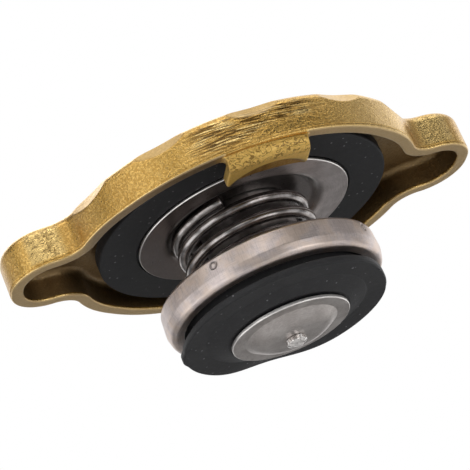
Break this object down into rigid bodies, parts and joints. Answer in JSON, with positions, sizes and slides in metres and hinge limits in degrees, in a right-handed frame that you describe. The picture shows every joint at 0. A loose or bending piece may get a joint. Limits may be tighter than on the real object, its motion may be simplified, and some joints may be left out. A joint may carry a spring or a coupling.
{
  "type": "radiator pressure cap",
  "caption": "Pressure cap for a filler neck: gold two-eared cover with bayonet tabs, rubber neck gasket, coil spring, and a rubber-faced pressure valve with a vacuum valve in it.",
  "frame": {"origin": "on the cap's axis, in the plane where the neck gasket seals on the filler neck's rim", "axes": "+Z along the axis out of the neck, to the cover's top; X through the two ears; Y through the two bayonet tabs"},
  "size_m": [0.0762, 0.0534, 0.0292],
  "materials": {
    "gold_lacquered_steel": "gold lacquer with a fine hammered grain, semi-gloss",
    "zinc_plated_steel": "zinc plated",
    "neck_gasket_rubber": "matt black",
    "spring_disc_stainless": "satin",
    "friction_disc_steel": "satin",
    "guide_steel": "satin",
    "spring_steel": "bright drawn wire",
    "cup_stainless": "satin with fine axial drawing marks",
    "sleeve_steel": "satin",
    "seal_washer_steel": "satin",
    "pressure_seal_rubber": "matt black",
    "vacuum_disc_stainless": "satin",
    "vacuum_stem_steel": "bright",
    "vacuum_spring_wire": "bright drawn wire",
    "stem_clip_steel": "satin"
  },
  "bodies": {
    "cover_body": {"cover": "gold_lacquered_steel", "cover_rivet": "zinc_plated_steel"},
    "seal_pack": {"friction_disc": "friction_disc_steel", "neck_gasket": "neck_gasket_rubber", "spring_disc": "spring_disc_stainless", "guide": "guide_steel", "main_spring": "spring_steel"},
    "pressure_valve": {"pressure_cup": "cup_stainless", "valve_sleeve": "sleeve_steel", "seal_washer": "seal_washer_steel", "pressure_seal": "pressure_seal_rubber", "vacuum_spring": "vacuum_spring_wire"},
    "vacuum_valve": {"vacuum_disc": "vacuum_disc_stainless", "vacuum_stem": "vacuum_stem_steel", "stem_clip": "stem_clip_steel"}
  },
  "joints": [
    {"name": "cover_swivel", "type": "hinge", "parent": "cover_body", "child": "seal_pack", "pos_m": [0, 0, 0], "axis": [0, 0, 1], "continuous": true},
    {"name": "pressure_lift", "type": "slide", "parent": "seal_pack", "child": "pressure_valve", "axis": [0, 0, 1], "range_m": [0, 0.002], "stiffness_N_per_m": 6660, "springref_m": -0.012, "deforming": ["main_spring"]},
    {"name": "vacuum_drop", "type": "slide", "parent": "pressure_valve", "child": "vacuum_valve", "axis": [0, 0, -1], "range_m": [0, 0.0015], "stiffness_N_per_m": 300, "springref_m": -0.002, "deforming": ["vacuum_spring"]}
  ]
}
